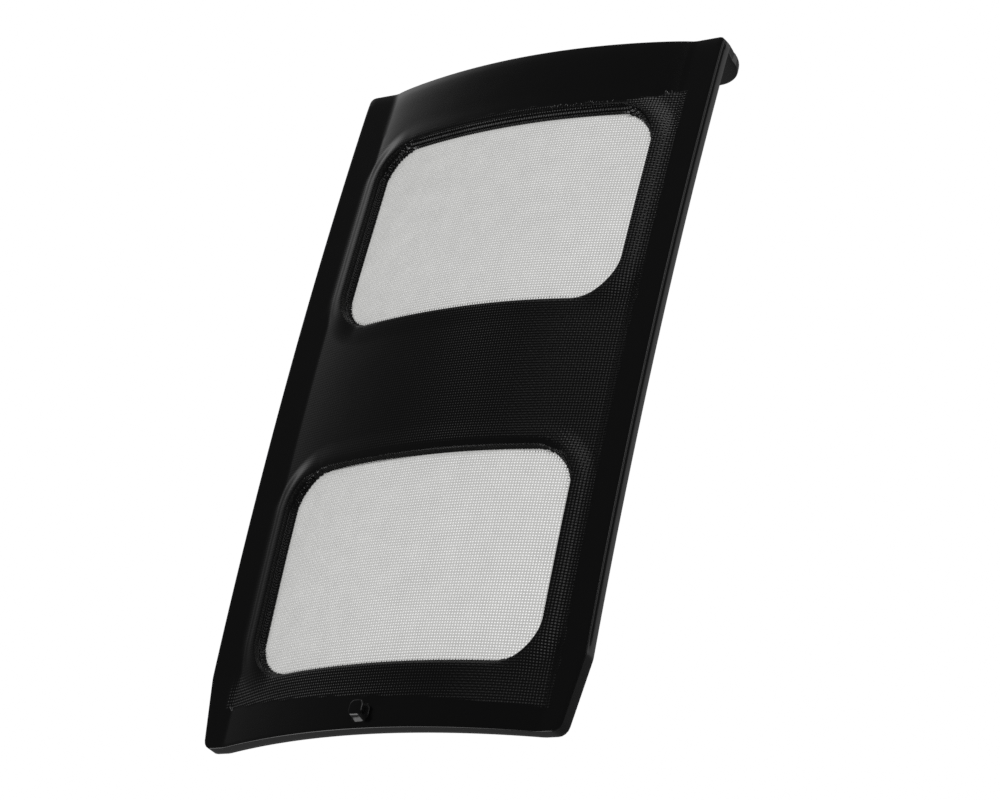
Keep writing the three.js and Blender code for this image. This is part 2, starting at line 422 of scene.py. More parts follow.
def cloth_cover(x, z):
    """1 where the cloth shows through the front face, fading to 0 at its cut edges."""
    ragged = CLOTH_RAGGEDNESS * slow_wave(6 * x, 6 * z, 3)
    foot = CLOTH_FOOT + CLOTH_FOOT_SLANT * x
    top = CLOTH_TOP + sum(rise * ramp(x, start, run) for start, run, rise in CLOTH_TOP_STEPS)
    edge = np.minimum(CLOTH_SIDE - np.abs(x), np.minimum(top - z, z - foot)) + ragged
    return ease(edge / EMBOSS_FADE) * (1 - lip(x, z))


def emboss(x, z):
    """How far the weave stands forward of the front face."""
    strength = 0.85 + 0.15 * slow_wave(x, z, 5)
    return EMBOSS * strength * boldness(x, z) * cloth_cover(x, z) * (weave(x, z) - 0.5)


def full_front(x, z):
    """The whole front face: panel, rims and weave."""
    return plain_front(x, z) - rim_rise(x, z) - emboss(x, z)


# ---- Outlines -------------------------------------------------------------------------------

def rounded_polygon(corners, radii, spacing):
    """Points and outward normals round a convex polygon, taken anticlockwise."""
    corners = [np.array(c, float) for c in corners]
    count = len(corners)
    arcs = []
    for i, (corner, radius) in enumerate(zip(corners, radii)):
        arriving = corner - corners[i - 1]
        leaving = corners[(i + 1) % count] - corner
        start = math.atan2(-arriving[0], arriving[1])
        turn = (math.atan2(-leaving[0], leaving[1]) - start) % (2 * math.pi)
        back = arriving / np.linalg.norm(arriving) * radius * math.tan(turn / 2)
        normal = np.array([math.cos(start), math.sin(start)])
        centre = corner - back - normal * radius
        steps = max(2, math.ceil(radius * turn / spacing))
        angles = start + turn * np.linspace(0, 1, steps + 1)
        arcs.append((centre, radius, angles))
    points, normals = [], []
    for i, (centre, radius, angles) in enumerate(arcs):
        around = np.stack([np.cos(angles), np.sin(angles)], 1)
        points.extend(centre + radius * around)
        normals.extend(around)
        next_centre, next_radius, next_angles = arcs[(i + 1) % count]
        first = points[-1]
        towards = np.array([math.cos(next_angles[0]), math.sin(next_angles[0])])
        last = next_centre + next_radius * towards
        steps = max(1, round(float(np.linalg.norm(last - first)) / spacing))
        for k in range(1, steps):
            points.append(first + (last - first) * k / steps)
            normals.append(normals[-1])
    return np.array(points), np.array(normals)


def panel_outline():
    """The panel seen from the front, tapering in below the knees."""
    corners = [
        (-FOOT_SIDE, 0), (FOOT_SIDE, 0), (SIDE, FOOT_HEIGHT), (SIDE, HEIGHT),
        (-SIDE, HEIGHT), (-SIDE, FOOT_HEIGHT),
    ]
    radii = [FOOT_CORNER, FOOT_CORNER, KNEE_RADIUS, TOP_CORNER, TOP_CORNER, KNEE_RADIUS]
    return rounded_polygon(corners, radii, COARSE / 2)


def window_outline(centre):
    """One window seen from the front."""
    w, h = WINDOW_HALF_WIDTH, WINDOW_HALF_HEIGHT
    corners = [(-w, centre - h), (w, centre - h), (w, centre + h), (-w, centre + h)]
    return rounded_polygon(corners, [WINDOW_RADIUS] * 4, PITCH / 4)


# ---- Mesh building --------------------------------------------------------------------------

class Surface:
    """Vertices in millimetres and faces, gathered until a mesh is made from them."""

    def __init__(self):
        self.vertices = []
        self.faces = []

    def add(self, points):
        """Adds points and returns their vertex numbers."""
        start = len(self.vertices)
        self.vertices.extend(map(tuple, points))
        return list(range(start, len(self.vertices)))

    def bridge(self, first, second):
        """A band of quads between two closed loops with the same number of vertices."""
        count = len(first)
        for i in range(count):
            j = (i + 1) % count
            self.faces.append((first[i], first[j], second[j], second[i]))

    def sweep(self, loop, rings):
        """Bands from a loop of vertices through each ring of points in turn."""
        for ring in rings:
            following = self.add(ring)
            self.bridge(loop, following)
            loop = following
        return loop

    def make(self, name, material):
        """A smooth-shaded object of triangles that face outwards."""
        mesh = bpy.data.meshes.new(name)
        mesh.from_pydata((np.array(self.vertices) * MM).tolist(), [], self.faces)
        tidy = bmesh.new()
        tidy.from_mesh(mesh)
        bmesh.ops.recalc_face_normals(tidy, faces=tidy.faces)
        bmesh.ops.triangulate(tidy, faces=tidy.faces)
        tidy.to_mesh(mesh)
        tidy.free()
        mesh.shade_smooth()
        mesh.materials.append(material)
        piece = bpy.data.objects.new(name, mesh)
        bpy.context.scene.collection.objects.link(piece)
        return piece


def fill(surface, outer, holes, inner_points, height):
    """Triangles between an outer loop and holes, through the inner points.

    Loops and points are in X and Z; height gives each one's Y. Returns the vertex numbers of the
    outer loop and of each hole.
    """
    loops = [outer, *holes]
    points = np.concatenate([*loops, inner_points])
    edges, starts, start = [], [], 0
    for loop in loops:
        count = len(loop)
        edges.extend((start + i, start + (i + 1) % count) for i in range(count))
        starts.append((start, count))
        start += count
    flat = [Vector(p) for p in points]
    out, _, triangles, origins, _, _ = delaunay_2d_cdt(flat, edges, [], 0, 1e-7)
    out = np.array([tuple(p) for p in out])
    numbers = surface.add(np.stack([out[:, 0], height(out[:, 0], out[:, 1]), out[:, 1]], 1))
    triangles = np.array(triangles)
    corners = out[triangles]
    first, second = corners[:, 1] - corners[:, 0], corners[:, 2] - corners[:, 0]
    area = np.abs(first[:, 0] * second[:, 1] - first[:, 1] * second[:, 0]) / 2
    middle = corners.mean(axis=1)
    kept = inside(middle, outer) & (area > SMALLEST_AREA)
    for hole in holes:
        kept &= ~inside(middle, hole)
    surface.faces.extend(tuple(numbers[i] for i in t) for t in triangles[kept].tolist())
    where = {}
    for new, old_numbers in enumerate(origins):
        for old in old_numbers:
            where[old] = numbers[new]
    return [[where[first + i] for i in range(count)] for first, count in starts]


def inside(points, loop):
    """Which points lie inside a loop, by counting the edges that a line from each point crosses."""
    result = np.zeros(len(points), bool)
    x, z = points.T
    for a, b in zip(loop, np.roll(loop, -1, axis=0)):
        spans = (a[1] > z) != (b[1] > z)
        if spans.any():
            crossing = a[0] + (b[0] - a[0]) * (z - a[1]) / (b[1] - a[1])
            result ^= spans & (x < crossing)
    return result


def grid(step, left, right, bottom, top):
    """Points on whole multiples of step."""
    x = np.arange(math.ceil(left / step), math.floor(right / step) + 1) * step
    z = np.arange(math.ceil(bottom / step), math.floor(top / step) + 1) * step
    return np.stack(np.meshgrid(x, z), -1).reshape(-1, 2)


def lifted(points, depth, surface_y):
    """Points in X and Z set behind the surface by depth."""
    x, z = points[:, 0], points[:, 1]
    return np.stack([x, surface_y(x, z) + depth, z], 1)


# ---- The moulded frame ----------------------------------------------------------------------

def drawn_in(loop, at_sides, at_foot):
    """The panel's loop drawn in at its sides and lifted at its foot."""
    return loop * (1 - at_sides / SIDE) + [0, at_foot]


def front_points(outline_front):
    """Fine points over the cloth, coarser ones over the plain margins."""
    fine_side = CLOTH_SIDE + EMBOSS_FADE + PITCH
    fine_top = CLOTH_TOP + CLOTH_CORNER_RISE + EMBOSS_FADE + PITCH
    fine = grid(FINE, -fine_side, fine_side, FINE_BOTTOM, fine_top)
    fine = fine + np.stack(thread_drift(fine[:, 0], fine[:, 1]), 1)
    coarse = grid(COARSE / 2, -SIDE, SIDE, 0, HEIGHT)
    in_fine = np.abs(coarse[:, 0]) < fine_side + FINE_GAP
    in_fine &= (coarse[:, 1] > FINE_BOTTOM - FINE_GAP) & (coarse[:, 1] < fine_top + FINE_GAP)
    points = np.concatenate([fine, coarse[~in_fine]])
    clear_of_windows = nearest_window(points[:, 0], points[:, 1]) > ARRIS + 1.4 * FINE
    clear_of_edge = inside(points, drawn_in(outline_front, 0.3, 0.15))
    return points[clear_of_windows & clear_of_edge]


def crest_loop(outline, normals):
    """The front arris's outer edge round a window, drawn inwards along the lip."""
    return outline + normals * (ARRIS - LIP_DROP * lip_share(*outline.T))[:, None]


def window_wall(outline, normals):
    """Rings from the rim's crest, over the bead and down through the cloth to the back."""
    crest = rim_rise(*(outline + normals * HAIR).T)
    share = lip_share(*outline.T)
    ledge, draft, bead = edge_sizes(*outline.T)
    in_upper = outline[:, 1] > BRIDGE_MIDDLE
    narrowed = LIP_SQUEEZE * share - UPPER_SHIFT * normals[:, 1] * in_upper

    def ring(offset, depth, relief=0.0, rise=0.0):
        """The outline grown by offset, at a depth behind the plain front, woven by relief."""
        offset = np.where(offset < 0, offset * (1 - narrowed), offset)
        woven = relief * (weave(*outline.T) - 0.5)
        points = outline + normals * (offset - LIP_DROP * share - woven)[:, None]
        return lifted(points, depth - rise * crest, plain_front)

    rings = []
    for angle in QUARTER_ROUND:
        rings.append(ring(ARRIS * (1 - math.sin(angle)), ARRIS * (1 - math.cos(angle)), rise=1.0))
    rings.append(ring(-0.85 * draft, ledge - EDGE_ROUND))
    rings.append(ring(-draft, ledge))
    rings.append(ring(0.1 * draft - bead, ledge))
    slope_top = ledge + SLOPE_START
    for step in range(SLOPE_STEPS):
        along = (step + 0.5) / SLOPE_STEPS
        offset = -bead - (LEDGE_WIDTH - bead) * along
        rings.append(ring(offset, slope_top + (CLOTH_DEPTH - slope_top) * along, SLOPE_RELIEF))
    rings.append(ring(-LEDGE_WIDTH, CLOTH_DEPTH + SLOPE_PAST_CLOTH))
    rings.append(ring(-LEDGE_WIDTH + BACK_FLARE, WALL - ARRIS))
    rings.append(ring(-LEDGE_WIDTH + ARRIS, WALL))
    return rings


def side_rings(outline, normals):
    """Rings round the panel's edge, from the front arris to the back, with a fine groove."""
    on_side = ramp(np.abs(normals[:, 0]), 0.9, 0.09) * ramp(outline[:, 1], FOOT_HEIGHT, 2)

    def ring(inset, depth, groove=0.0):
        """The outline drawn in by inset, and by the groove on the sides, at a depth."""
        points = outline - normals * (inset + groove * on_side)[:, None]
        return lifted(points, depth, plain_front)

    rings = []
    for angle in QUARTER_ROUND:
        rings.append(ring(ARRIS * (1 - math.sin(angle)), ARRIS * (1 - math.cos(angle))))
    for depth, groove in EDGE_PROFILE:
        rings.append(ring(0.0, depth, groove))
    rings.append(ring(0.0, WALL - REAR_ARRIS))
    for angle in QUARTER_ROUND:
        inset = REAR_ARRIS * (1 - math.cos(angle))
        rings.append(ring(inset, WALL - REAR_ARRIS * (1 - math.sin(angle))))
    return rings


def panel_surface():
    """The panel as one closed shell: front face, edge, window walls and back face."""
    outline, normals = panel_outline()
    front_edge = outline - normals * ARRIS
    windows = [window_outline(centre) for centre in WINDOW_CENTRES.values()]
    crest_loops = [crest_loop(points, out) for points, out in windows]
    shell = Surface()
    front = fill(shell, front_edge, crest_loops, front_points(front_edge), full_front)

    back_edge = shell.sweep(front[0], side_rings(outline, normals))
    back_windows = []
    for loop, (points, out) in zip(front[1:], windows):
        back_windows.append(shell.sweep(loop, window_wall(points, out)))
    close_back(shell, back_edge, back_windows)
    return shell


def close_back(shell, edge, holes):
    """Fills the back face between the last ring of the edge and of each window."""
    loops = [np.array([shell.vertices[i] for i in loop])[:, [0, 2]] for loop in [edge, *holes]]
    points = grid(COARSE, -SIDE, SIDE, 0, HEIGHT)
    kept = nearest_window(points[:, 0], points[:, 1]) > -LEDGE_WIDTH + ARRIS + COARSE / 2
    kept &= inside(points, drawn_in(loops[0], 0.6, 0.5))
    back = Surface()
    found = fill(back, loops[0], loops[1:], points[kept], lambda x, z: plain_front(x, z) + WALL)
    shared = {}
    for ring, copy in zip([edge, *holes], found):
        shared.update(zip(copy, ring))
    fresh = [i for i in range(len(back.vertices)) if i not in shared]
    shared.update(zip(fresh, shell.add([back.vertices[i] for i in fresh])))
    shell.faces.extend(tuple(shared[i] for i in face) for face in back.faces)


def tab_surface():
    """The tab: YZ sections lofted across the panel, filleted where they meet the wall."""
    end = SIDE - TAB_TAPER

    def reach(x):
        """How far back the tab comes at x."""
        x = abs(x)
        if x > end:
            straight = TAB_REAR - TAB_CORNER - Y_SHIFT
            return Y_SHIFT + straight + (TAB_LEAST_REACH - straight) * (x - end) / (SIDE - end)
        from_corner = max(x - (end - TAB_CORNER), 0)
        return TAB_REAR - TAB_CORNER + math.sqrt(max(TAB_CORNER**2 - from_corner**2, 0))

    def top(x):
        """Height of the tab at x, rounded like the panel's top corners."""
        past = max(abs(x) - (SIDE - TOP_CORNER), 0)
        return HEIGHT - TOP_CORNER + math.sqrt(max(TOP_CORNER**2 - past**2, 0))

    def arc(centre_y, centre_z, radius, first, last, count):
        """Points in Y and Z on an arc; angles in degrees from +Y."""
        angles = np.radians(np.linspace(first, last, count))
        return [(centre_y + radius * math.cos(a), centre_z + radius * math.sin(a)) for a in angles]

    def section(x):
        """The tab cut at x: over the top, round its rear edge and back along its underside."""
        wall_front = float(plain_front(np.array(x), HEIGHT))
        wall_back = wall_front + WALL
        front = wall_front + TAB_ROOT_INSIDE
        rear = reach(x)
        high = top(x)
        low = HEIGHT - TAB_THICKNESS
        corner = min(TAB_REAR_ROUND, (rear - front) / 3, (high - low) / 2.2)
        root = min(wall_back + TAB_FILLET, rear - corner - HAIR)
        fillet = max(root - wall_back, HAIR)
        points = [(front, high)]
        points += arc(rear - corner, high - corner, corner, 90, 0, 5)
        points += arc(rear - corner, low + corner, corner, 0, -90, 5)
        points += arc(root, low - fillet, fillet, 90, 180, 6)
        points.append((front, low - fillet))
        return [(x, y, z) for y, z in points]

    rounded = end - TAB_CORNER + TAB_CORNER * np.sin(np.radians(np.linspace(0, 90, 13)))
    tapered = np.linspace(end, SIDE - 2 * HAIR, 8)[1:]
    half = np.concatenate([np.arange(0, end - TAB_CORNER, COARSE), rounded, tapered])
    stations = np.concatenate([-half[:0:-1], half])
    loft = Surface()
    first = loft.add(section(stations[0]))
    last = loft.sweep(first, [section(x) for x in stations[1:]])
    loft.faces.append(tuple(reversed(first)))
    loft.faces.append(tuple(last))
    return loft


def nib_surface():
    """A small catch: a boss with rounded edges, whose underside drops towards its root."""
    top = NIB_BOTTOM + NIB_HEIGHT
    corners = [
        (-NIB_HALF_WIDTH, NIB_BOTTOM), (NIB_HALF_WIDTH, NIB_BOTTOM),
        (NIB_HALF_WIDTH, top), (-NIB_HALF_WIDTH, top),
    ]
    outline, normals = rounded_polygon(corners, NIB_CORNERS, 0.1)
    underside = ramp(outline[:, 1], NIB_BOTTOM + NIB_UNDERSIDE_HEIGHT, -NIB_UNDERSIDE_HEIGHT)
    front = float(plain_front(np.array(0.0), NIB_BOTTOM))

    def ring(rise, grow):
        """The outline grown a little, at a rise forward of the panel."""
        points = outline + normals * grow
        points[:, 1] -= NIB_UNDERSIDE_DROP * underside * (1 - rise / NIB_RISE)
        across = points[:, 0] + NIB_MIDDLE
        return np.stack([across, np.full(len(points), front - rise), points[:, 1]], 1)

    profile = list(NIB_ROOT)
    for angle in np.radians([0, 25, 50, 75, 90]):
        rise = NIB_RISE - NIB_ROUND * (1 - math.sin(angle))
        profile.append((rise, -NIB_TAPER - NIB_ROUND * (1 - math.cos(angle))))
    boss = Surface()
    first = boss.add(ring(*profile[0]))
    last = boss.sweep(first, [ring(rise, grow) for rise, grow in profile[1:]])
    boss.faces.append(tuple(reversed(first)))
    boss.faces.append(tuple(last))
    return boss


def mark_threads(piece):
    """Stores thread coordinates and cloth cover on each vertex, for the plastic's fine relief."""
    mesh = piece.data
    spots = np.empty(3 * len(mesh.vertices))
    mesh.vertices.foreach_get("co", spots)
    x, y, z = spots.reshape(-1, 3).T / MM
    depth = y - plain_front(x, z)
    share = lip_share(x, z)
    ledge, _, bead = edge_sizes(x, z)
    from_edge = nearest_window(x, z) + LIP_DROP * share
    in_window = from_edge < 2 * HAIR
    on_bead = in_window & (depth > ledge - 2 * EDGE_ROUND)
    on_slope = from_edge < HAIR - bead * (1 - LIP_SQUEEZE * share)
    cover = np.where(in_window, WALL_COVER, cloth_cover(x, z) * boldness(x, z) ** 2)
    cover = np.where(on_bead, 0, cover)
    cover = np.where(on_slope, 1, cover) * (depth < CLOTH_DEPTH + SLOPE_PAST_CLOTH / 2)
    drift_x, drift_z = thread_drift(x, z)
    values = np.stack([(x - drift_x) / PITCH, (z - drift_z) / PITCH, cover], 1)
    attribute = mesh.attributes.new("threads", "FLOAT_VECTOR", "POINT")
    attribute.data.foreach_set("vector", values.ravel())


def join(base, *others):
    """Boolean union of closed pieces into base."""
    for other in others:
        union = base.modifiers.new("union", "BOOLEAN")
        union.operation = "UNION"
        union.solver = "MANIFOLD"
        union.object = other
        bpy.context.view_layer.objects.active = base
        bpy.ops.object.modifier_apply(modifier=union.name)
        bpy.data.objects.remove(other)
    return base


# ---- The cloth ------------------------------------------------------------------------------

def half_extent(across, half_long, half_short, inset):
    """Half length of a chord of the rounded window at a distance across from its centre line."""
    radius = WINDOW_RADIUS - inset
    into_corner = abs(across) - (half_short - inset - radius)
    if into_corner >= radius:
        return 0.0
    short_of_edge = radius - math.sqrt(radius**2 - max(into_corner, 0.0) ** 2)
    return half_long - inset - short_of_edge


def grid_lines(low, high):
    """Numbers of the thread lines between two places."""
    return np.arange(math.ceil(low / PITCH), math.floor(high / PITCH) + 1)


def thread_tube(threads, x, z, over, along_z, radius):
    """One flat-sided thread through points x, z; over is how far each stands forward of the cloth."""
    y = plain_front(x, z) + CLOTH_DEPTH - over
    centreline = np.stack([x, y, z], 1)
    sideways = np.array([1.0, 0, 0]) if along_z else np.array([0, 0, 1.0])
    outwards = np.array([0, 1.0, 0])
    loops = []
    for angle in np.radians([45, 135, 225, 315]):
        step = sideways * math.cos(angle) + outwards * math.sin(angle) * THREAD_FLATNESS
        loops.append(centreline + radius * step)
    sections = np.stack(loops, 1)
    first = threads.add(sections[0])
    last = threads.sweep(first, sections[1:])
    threads.faces.append(tuple(reversed(first)))
    threads.faces.append(tuple(last))


def window_cloth(centre, seed):
    """Woven threads across a window, and the black ends where plastic has run along them."""
    rng = np.random.default_rng(seed)
    inset = LEDGE_WIDTH / 2
    threads = Surface()
    stained = Surface()

    def stain(line, along_z, middle, reach, end):
        """A black tooth on a thread's end; a plain top edge, with no lip or corner, has none."""
        tooth = rng.uniform(*TOOTH_LENGTH)
        across = line * PITCH
        tip = reach - (LEDGE_WIDTH - inset) - tooth
        if tip < 1:
            return
        along = middle + end * np.array([reach, (reach + tip) / 2, tip])
        x, z = (np.full(3, across), along) if along_z else (along, np.full(3, across))
        at_lip = lip_share(x[:1], z[:1])[0]
        at_corner = ramp(x[0], *CORNER_TOOTH_RAMP) * ramp(z[0], centre, WINDOW_HALF_HEIGHT)
        if at_lip or at_corner:
            drawn_in = (LIP_DROP - LEDGE_WIDTH * LIP_SQUEEZE) * at_lip + CORNER_TOOTH * at_corner
            step = np.array([0, 0.5, 1]) * drawn_in * end
            x, z = (x, z - step) if along_z else (x - step, z)
        elif along_z and end > 0:
            return
        drift_x, drift_z = thread_drift(x, z)
        over = np.full(3, STAIN_SWING)
        thread_tube(stained, x + drift_x, z + drift_z, over, along_z, STAIN_RADIUS)

    def lay(line, along_z):
        """The thread on one grid line, if the window is open there."""
        if along_z:
            reach = half_extent(line * PITCH, WINDOW_HALF_HEIGHT, WINDOW_HALF_WIDTH, inset)
            middle = centre
        else:
            reach = half_extent(line * PITCH - centre, WINDOW_HALF_WIDTH, WINDOW_HALF_HEIGHT, inset)
            middle = 0.0
        crossing = grid_lines(middle - reach, middle + reach)
        if len(crossing) < 2:
            return
        along = crossing * PITCH
        across = np.full(len(crossing), line * PITCH)
        x, z = (across, along) if along_z else (along, across)
        drift_x, drift_z = thread_drift(x, z)
        x, z = x + drift_x, z + drift_z
        over = THREAD_SWING * (-1.0) ** (line + crossing) * (1 if along_z else -1)
        thread_tube(threads, x, z, over, along_z, THREAD_RADIUS)
        for end in (-1, 1):
            stain(line, along_z, middle, reach, end)

    for column in grid_lines(-WINDOW_HALF_WIDTH, WINDOW_HALF_WIDTH):
        lay(column, True)
    for row in grid_lines(centre - WINDOW_HALF_HEIGHT, centre + WINDOW_HALF_HEIGHT):
        lay(row, False)
    return threads, stained


def cloth_fibres(seed):
    """Frayed ends of the cloth that stand out of the plastic along its top edge and corners."""
    rng = np.random.default_rng(seed)
    fibres = Surface()
    for left, right, height, count in FRAYED_EDGES:
        for middle in rng.uniform(left, right, count):
            length = rng.uniform(*FIBRE_LENGTH)
            lean = rng.uniform(-FIBRE_LEAN, FIBRE_LEAN)
            along = np.array([-0.5, 0.0, 0.5]) * length
            x = middle + lean * along
            z = height + rng.uniform(-FIBRE_SCATTER, FIBRE_SCATTER) + along
            over = CLOTH_DEPTH + np.array(FIBRE_DEPTHS)
            thread_tube(fibres, x, z, over, True, FIBRE_RADIUS)
    return fibres


# ---- Materials ------------------------------------------------------------------------------

class Shader:
    """A node tree, with short ways to add and join its nodes."""

    def __init__(self, tree):
        self.nodes = tree.nodes
        self.links = tree.links
        self.nodes.clear()

    def add(self, kind, **inputs):
        """A node with the named inputs set to values or joined to sockets."""
        node = self.nodes.new("ShaderNode" + kind)
        for name, value in inputs.items():
            self.put(node.inputs[name.replace("_", " ")], value)
        return node

    def put(self, socket, value):
        """Sets a socket to a value, or joins it to another socket."""
        if isinstance(value, bpy.types.NodeSocket):
            self.links.new(value, socket)
        else:
            socket.default_value = value

    def maths(self, operation, *values):
        """The result of one sum on values or sockets."""
        node = self.nodes.new("ShaderNodeMath")
        node.operation = operation
        for socket, value in zip(node.inputs, values):
            self.put(socket, value)
        return node.outputs[0]

    def half_wave(self, angle):
        """Half of one plus the cosine of an angle."""
        return self.maths("MULTIPLY_ADD", self.maths("COSINE", angle), 0.5, 0.5)

    def mix(self, share, first, second):
        """A blend of two shaders."""
        node = self.add("MixShader", Fac=share)
        self.put(node.inputs[1], first)
        self.put(node.inputs[2], second)
        return node.outputs[0]

    def ramp(self, value, span, ends):
        """A smooth step from one end to the other as value crosses the span."""
        node = self.add("MapRange", Value=value)
        node.interpolation_type = "SMOOTHSTEP"
        for name, end in zip(("From Min", "From Max", "To Min", "To Max"), (*span, *ends)):
            self.put(node.inputs[name], end)
        return node.outputs["Result"]

    def off_centre(self, angle, middle, spread):
        """How many spreads an angle is from the middle, squared; middle and spread in degrees."""
        away = self.maths("SUBTRACT", angle, math.radians(middle))
        return self.maths("POWER", self.maths("DIVIDE", away, math.radians(spread)), 2.0)

    def noise(self, where, scale, detail):
        """Smooth noise, with scale in waves to the metre."""
        return self.add("TexNoise", Vector=where, Scale=scale, Detail=detail).outputs["Fac"]

    def spread(self, value, low, high):
        """A noise value from 0.3 to 0.7 spread out to a range."""
        node = self.add("MapRange", Value=value)
        ends = {"From Min": 0.3, "From Max": 0.7, "To Min": low, "To Max": high}
        for name, end in ends.items():
            node.inputs[name].default_value = end
        return node.outputs["Result"]


def new_material(name):
    """A material and the shader that builds its nodes."""
    material = bpy.data.materials.new(name)
    material.use_nodes = True
    return material, Shader(material.node_tree)


def woven_height(shader, u, v):
    """The weave function as nodes, from thread coordinates."""
    warp = shader.half_wave(shader.maths("MULTIPLY", u, 2 * math.pi))
    weft = shader.half_wave(shader.maths("MULTIPLY", v, 2 * math.pi))
    across = shader.maths("COSINE", shader.maths("MULTIPLY", u, math.pi))
    along = shader.maths("COSINE", shader.maths("MULTIPLY", v, math.pi))
    swap = shader.maths("MULTIPLY", across, along)
    warp_swap = shader.maths("MULTIPLY_ADD", swap, WARP_HEIGHT * OVER_UNDER, WARP_HEIGHT)
    weft_swap = shader.maths("MULTIPLY_ADD", swap, -WEFT_HEIGHT * OVER_UNDER, WEFT_HEIGHT)
    return shader.maths("MULTIPLY_ADD", warp, warp_swap, shader.maths("MULTIPLY", weft, weft_swap))


def plastic_material():
    """Black moulded plastic: faint grain all over, and the weave where cloth lies under it."""
    material, shader = new_material("black_plastic")
    where = shader.add("TexCoord").outputs["Object"]
    threads = shader.nodes.new("ShaderNodeAttribute")
    threads.attribute_name = "threads"
    split = shader.add("SeparateXYZ", Vector=threads.outputs["Vector"]).outputs
    woven = shader.maths("MULTIPLY", woven_height(shader, split["X"], split["Y"]), split["Z"])
    relief = shader.add("Bump", Strength=1.0, Distance=WOVEN_RELIEF * MM, Height=woven)
    fine = shader.add("Bump", Strength=GRAIN_STRENGTH, Distance=GRAIN_HEIGHT * MM)
    shader.put(fine.inputs["Height"], shader.noise(where, GRAIN_WAVES, 3.0))
    shader.put(fine.inputs["Normal"], relief.outputs[0])
    roughness = shader.spread(shader.noise(where, PATCH_WAVES, 4.0), *PLASTIC_ROUGHNESS)
    body = shader.add("BsdfPrincipled", Base_Color=PLASTIC_BLACK, Roughness=roughness)
    shader.put(body.inputs["Normal"], fine.outputs[0])
    shader.add("OutputMaterial", Surface=body.outputs["BSDF"])
    return material


def thread_material():
    """Clear-white monofilament: partly see-through, with a painted glow that stands in for the light
    shining through it.

    The painted glow falls more dimly on the plastic round it than it looks to the camera.
    """
    material, shader = new_material("cloth_thread_painted_glow")
    where = shader.add("TexCoord").outputs["Object"]
    tone = shader.spread(shader.noise(where, THREAD_WAVES, 3.0), *THREAD_TONE)
    colour = shader.add("CombineColor", Red=tone, Green=tone)
    shader.put(colour.inputs["Blue"], shader.maths("MULTIPLY", tone, THREAD_BLUE))
    skin = shader.add("BsdfPrincipled", Base_Color=colour.outputs[0], Roughness=THREAD_ROUGHNESS)
    seen = shader.add("LightPath").outputs["Is Camera Ray"]
    # Painted glow: an emission standing in for light shining through the threads, brighter to the camera
    strength = shader.maths("MULTIPLY_ADD", seen, THREAD_PAINTED_GLOW_SEEN - THREAD_PAINTED_GLOW_CAST, THREAD_PAINTED_GLOW_CAST)
    glow = shader.add("Emission", Color=colour.outputs[0], Strength=strength)
    clear = shader.add("BsdfTransparent")
    body = shader.mix(PAINTED_GLOW_SHARE, skin.outputs[0], glow.outputs[0])
    shader.add("OutputMaterial", Surface=shader.mix(CLEAR_SHARE, body, clear.outputs[0]))
    return material


def fibre_material():
    """Loose ends of the cloth, dulled by the plastic round them."""
    material, shader = new_material("cloth_fibre")
    where = shader.add("TexCoord").outputs["Object"]
    tone = shader.spread(shader.noise(where, FIBRE_WAVES, 2.0), *FIBRE_TONE)
    colour = shader.add("CombineColor", Red=tone, Green=tone, Blue=tone)
    body = shader.add("BsdfPrincipled", Base_Color=colour.outputs[0], Roughness=FIBRE_ROUGHNESS)
    shader.add("OutputMaterial", Surface=body.outputs["BSDF"])
    return material


def floor_material():
    """Pale and even, with a painted contact shadow where the object is close, and not there from below.
    """
    material, shader = new_material("pale_floor_painted_shadow")
    where = shader.add("TexCoord").outputs["Object"]
    away = shader.nodes.new("ShaderNodeVectorMath")
    away.operation = "LENGTH"
    shader.put(away.inputs[0], where)
    # Painted shadow: ambient occlusion darkens the floor's emission near the object
    painted_shadow_openness = shader.add("AmbientOcclusion", Distance=PAINTED_SHADOW_REACH * MM).outputs["AO"]
    tone = shader.maths("MULTIPLY_ADD", painted_shadow_openness, OPEN_TONE, PAINTED_SHADOW_TONE)
    pale = shader.add("Emission", Strength=tone)
    clear = shader.add("BsdfTransparent")
    rim = FLOOR_RADIUS * MM
    fade = shader.ramp(away.outputs["Value"], (FLOOR_FADE_START * rim, rim), (0.0, 1.0))
    from_below = shader.add("NewGeometry").outputs["Backfacing"]
    shown = shader.mix(shader.maths("MAXIMUM", fade, from_below), pale.outputs[0], clear.outputs[0])
    shader.add("OutputMaterial", Surface=shown)
    return material


# ---- Stage, light and camera ----------------------------------------------------------------

